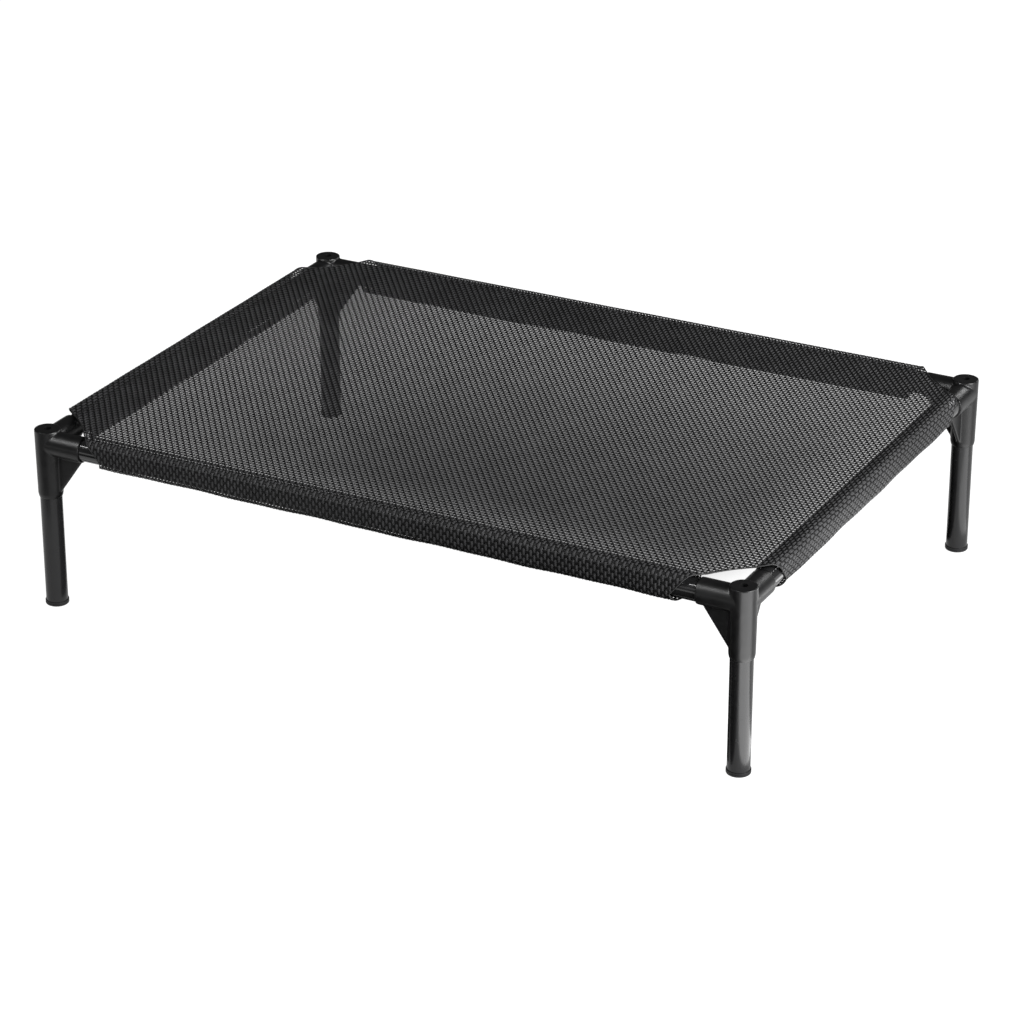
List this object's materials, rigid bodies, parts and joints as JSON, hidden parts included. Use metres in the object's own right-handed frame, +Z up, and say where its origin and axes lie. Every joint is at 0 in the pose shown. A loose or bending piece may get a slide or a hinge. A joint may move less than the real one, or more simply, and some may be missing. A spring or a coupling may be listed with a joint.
{
  "type": "raised pet cot",
  "caption": "Raised pet cot with a black mesh sling on a steel tube frame, moulded three-way corner connectors and plug-in legs.",
  "frame": {"origin": "on the floor under the middle of the cot", "axes": "+X along the long side, +Y from the front to the rear, +Z up"},
  "size_m": [0.7762, 0.5662, 0.1918],
  "materials": {
    "connector_plastic": "satin moulded black",
    "tube_steel": "semi-gloss black powder coat",
    "foot_plastic": "satin moulded black",
    "insert_metal": "zinc plated",
    "bolt_steel": "black oxide",
    "mesh_fabric": "coated black mesh with a slight sheen"
  },
  "bodies": {
    "frame": {"corner_connector_front_left": "connector_plastic", "corner_connector_front_right": "connector_plastic", "corner_connector_rear_left": "connector_plastic", "corner_connector_rear_right": "connector_plastic", "long_rail_front": "tube_steel", "long_rail_rear": "tube_steel", "short_rail_left": "tube_steel", "short_rail_right": "tube_steel", "leg_bolt_front_left": "bolt_steel", "leg_bolt_front_right": "bolt_steel", "leg_bolt_rear_left": "bolt_steel", "leg_bolt_rear_right": "bolt_steel", "mesh_panel": "mesh_fabric", "sleeve_front": "mesh_fabric", "sleeve_rear": "mesh_fabric", "sleeve_left": "mesh_fabric", "sleeve_right": "mesh_fabric"},
    "leg_front_left": {"leg_tube_front_left": "tube_steel", "foot_plug_front_left": "foot_plastic", "leg_insert_front_left": "insert_metal"},
    "leg_front_right": {"leg_tube_front_right": "tube_steel", "foot_plug_front_right": "foot_plastic", "leg_insert_front_right": "insert_metal"},
    "leg_rear_left": {"leg_tube_rear_left": "tube_steel", "foot_plug_rear_left": "foot_plastic", "leg_insert_rear_left": "insert_metal"},
    "leg_rear_right": {"leg_tube_rear_right": "tube_steel", "foot_plug_rear_right": "foot_plastic", "leg_insert_rear_right": "insert_metal"}
  },
  "joints": [
    {"name": "leg_front_left_pull", "type": "slide", "parent": "frame", "child": "leg_front_left", "axis": [0, 0, -1], "range_m": [0, 0.06]},
    {"name": "leg_front_right_pull", "type": "slide", "parent": "frame", "child": "leg_front_right", "axis": [0, 0, -1], "range_m": [0, 0.06]},
    {"name": "leg_rear_left_pull", "type": "slide", "parent": "frame", "child": "leg_rear_left", "axis": [0, 0, -1], "range_m": [0, 0.06]},
    {"name": "leg_rear_right_pull", "type": "slide", "parent": "frame", "child": "leg_rear_right", "axis": [0, 0, -1], "range_m": [0, 0.06]}
  ]
}
